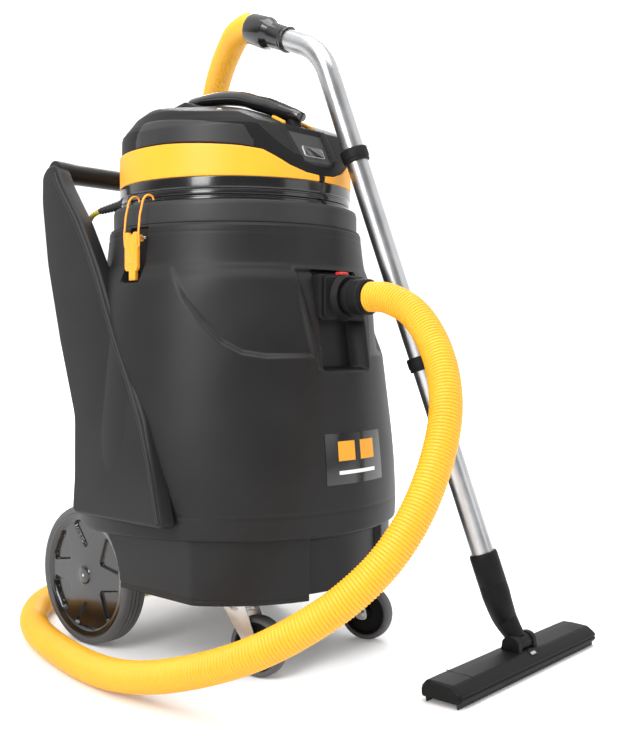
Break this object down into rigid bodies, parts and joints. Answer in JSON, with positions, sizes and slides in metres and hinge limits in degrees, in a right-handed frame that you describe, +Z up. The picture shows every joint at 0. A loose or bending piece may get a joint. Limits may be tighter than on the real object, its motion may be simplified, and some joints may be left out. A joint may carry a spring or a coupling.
{
  "type": "wet and dry drum vacuum cleaner",
  "caption": "Wheeled drum vacuum with a latched motor head, moulded trolley handle, corrugated suction hose, bent steel wand and floor tool.",
  "frame": {"origin": "middle of the machine's footprint on the floor, cord pieces left out", "axes": "+Z up, -Y to the front where the inlet is, +Y to the trolley handle"},
  "size_m": [0.8789, 1.0309, 1.1557],
  "materials": {
    "charcoal_plastic": "rotational moulded, fine grain",
    "grey_plastic": "moulded, satin",
    "black_plastic": "moulded, satin",
    "gloss_black": "moulded, gloss",
    "yellow_plastic": "moulded, satin",
    "orange_plastic": "moulded",
    "red_plastic": "moulded",
    "hose_plastic": "corrugated, flexible",
    "lead_rubber": "cable jacket",
    "black_rubber": "matt",
    "tyre_grey": "solid tread",
    "tube_steel": "polished stainless",
    "zinc_steel": "zinc plated",
    "foam_grey": "open cell foam",
    "filter_cloth": "woven filter cloth",
    "badge_grey": "satin plate",
    "wire_orange": "coated wire"
  },
  "bodies": {
    "root": {"drum_shell": "charcoal_plastic", "rear_handle_bar": "charcoal_plastic", "wheel_chassis": "charcoal_plastic", "clamp_collar": "grey_plastic", "rim_seal": "black_rubber", "motor_deck": "black_plastic", "head_skirt": "gloss_black", "head_band": "yellow_plastic", "head_cover": "black_plastic", "carry_grip": "black_plastic", "badge_plate": "badge_grey", "label_plate": "gloss_black", "suction_motors": "zinc_steel", "motor_gaskets": "black_rubber", "sound_foam": "foam_grey", "float_cage": "black_plastic", "float_ball": "grey_plastic", "cloth_filter": "filter_cloth", "switch_housings": "black_plastic", "inlet_block": "black_plastic", "inlet_deflector": "black_plastic", "hose_bayonet": "black_plastic", "strain_relief": "black_rubber", "rear_axle": "zinc_steel", "caster_plates": "zinc_steel", "caster_screws": "zinc_steel", "head_screws": "zinc_steel", "latch_pins": "zinc_steel", "suction_hose": "hose_plastic", "mains_lead": "lead_rubber", "lead_coil": "lead_rubber", "mains_plug": "black_plastic"},
    "rear_wheel_left": {"wheel_hub_left": "gloss_black", "wheel_tyre_left": "tyre_grey"},
    "rear_wheel_right": {"wheel_hub_right": "gloss_black", "wheel_tyre_right": "tyre_grey"},
    "caster_left": {"caster_fork_left": "zinc_steel", "caster_bolt_left": "zinc_steel"},
    "caster_right": {"caster_fork_right": "zinc_steel", "caster_bolt_right": "zinc_steel"},
    "caster_roller_left": {"caster_wheel_left": "black_plastic", "caster_tyre_left": "tyre_grey"},
    "caster_roller_right": {"caster_wheel_right": "black_plastic", "caster_tyre_right": "tyre_grey"},
    "latch_left": {"latch_lever_left": "orange_plastic"},
    "bail_left": {"latch_bail_left": "wire_orange"},
    "latch_right": {"latch_lever_right": "orange_plastic"},
    "bail_right": {"latch_bail_right": "wire_orange"},
    "switch_left": {"rocker_left": "yellow_plastic"},
    "switch_right": {"rocker_right": "yellow_plastic"},
    "inlet_release": {"release_button": "red_plastic"},
    "wand": {"wand_top_tube": "tube_steel", "wand_middle_tube": "tube_steel", "wand_lower_tube": "tube_steel", "wand_collars": "black_plastic", "wand_cuff": "black_plastic", "tool_neck": "black_plastic"},
    "floor_tool": {"tool_body": "black_plastic", "tool_strips": "black_rubber"}
  },
  "joints": [
    {"name": "rear_wheel_left_spin", "type": "hinge", "parent": "root", "child": "rear_wheel_left", "pos_m": [-0.242, 0.2855, 0.125], "axis": [1, 0, 0], "continuous": true},
    {"name": "caster_left_swivel", "type": "hinge", "parent": "root", "child": "caster_left", "pos_m": [-0.184, -0.0395, 0.1], "axis": [0, 0, 1], "continuous": true},
    {"name": "caster_left_roll", "type": "hinge", "parent": "caster_left", "child": "caster_roller_left", "pos_m": [-0.17672, -0.07373, 0.05], "axis": [0.9781, 0.2079, 0], "continuous": true},
    {"name": "latch_left_open", "type": "hinge", "parent": "root", "child": "latch_left", "pos_m": [-0.28, 0.1125, 0.718], "axis": [0, 1, 0], "range_deg": [0, 150]},
    {"name": "bail_left_swing", "type": "hinge", "parent": "latch_left", "child": "bail_left", "pos_m": [-0.287, 0.1125, 0.704], "axis": [0, 1, 0], "range_deg": [-180, 0]},
    {"name": "rear_wheel_right_spin", "type": "hinge", "parent": "root", "child": "rear_wheel_right", "pos_m": [0.154, 0.2855, 0.125], "axis": [1, 0, 0], "continuous": true},
    {"name": "caster_right_swivel", "type": "hinge", "parent": "root", "child": "caster_right", "pos_m": [0.096, -0.0395, 0.1], "axis": [0, 0, 1], "continuous": true},
    {"name": "caster_right_roll", "type": "hinge", "parent": "caster_right", "child": "caster_roller_right", "pos_m": [0.10328, -0.07373, 0.05], "axis": [0.9781, 0.2079, 0], "continuous": true},
    {"name": "latch_right_open", "type": "hinge", "parent": "root", "child": "latch_right", "pos_m": [0.192, 0.1125, 0.718], "axis": [0, -1, 0], "range_deg": [0, 150]},
    {"name": "bail_right_swing", "type": "hinge", "parent": "latch_right", "child": "bail_right", "pos_m": [0.199, 0.1125, 0.704], "axis": [0, -1, 0], "range_deg": [-180, 0]},
    {"name": "switch_left_rock", "type": "hinge", "parent": "root", "child": "switch_left", "pos_m": [-0.08, -0.0235, 0.921], "axis": [1, 0, 0], "range_deg": [-8, 8]},
    {"name": "switch_right_rock", "type": "hinge", "parent": "root", "child": "switch_right", "pos_m": [-0.008, -0.0235, 0.921], "axis": [1, 0, 0], "range_deg": [-8, 8]},
    {"name": "inlet_release_press", "type": "slide", "parent": "root", "child": "inlet_release", "axis": [0, 0, -1], "range_m": [0, 0.003], "stiffness_N_per_m": 600},
    {"name": "wand_swing", "type": "hinge", "parent": "root", "child": "wand", "pos_m": [-0.012, -0.0635, 1.053], "axis": [0.0161, 0.9204, 0.3907], "range_deg": [-20, 4]},
    {"name": "floor_tool_tilt", "type": "hinge", "parent": "wand", "child": "floor_tool", "pos_m": [0.138, -0.3725, 0.044], "axis": [1, 0, 0], "range_deg": [-25, 20]}
  ],
  "couplings": [
    {"joint": "bail_left_swing", "follows": "latch_left_open", "ratio": -1.2},
    {"joint": "bail_right_swing", "follows": "latch_right_open", "ratio": -1.2}
  ]
}
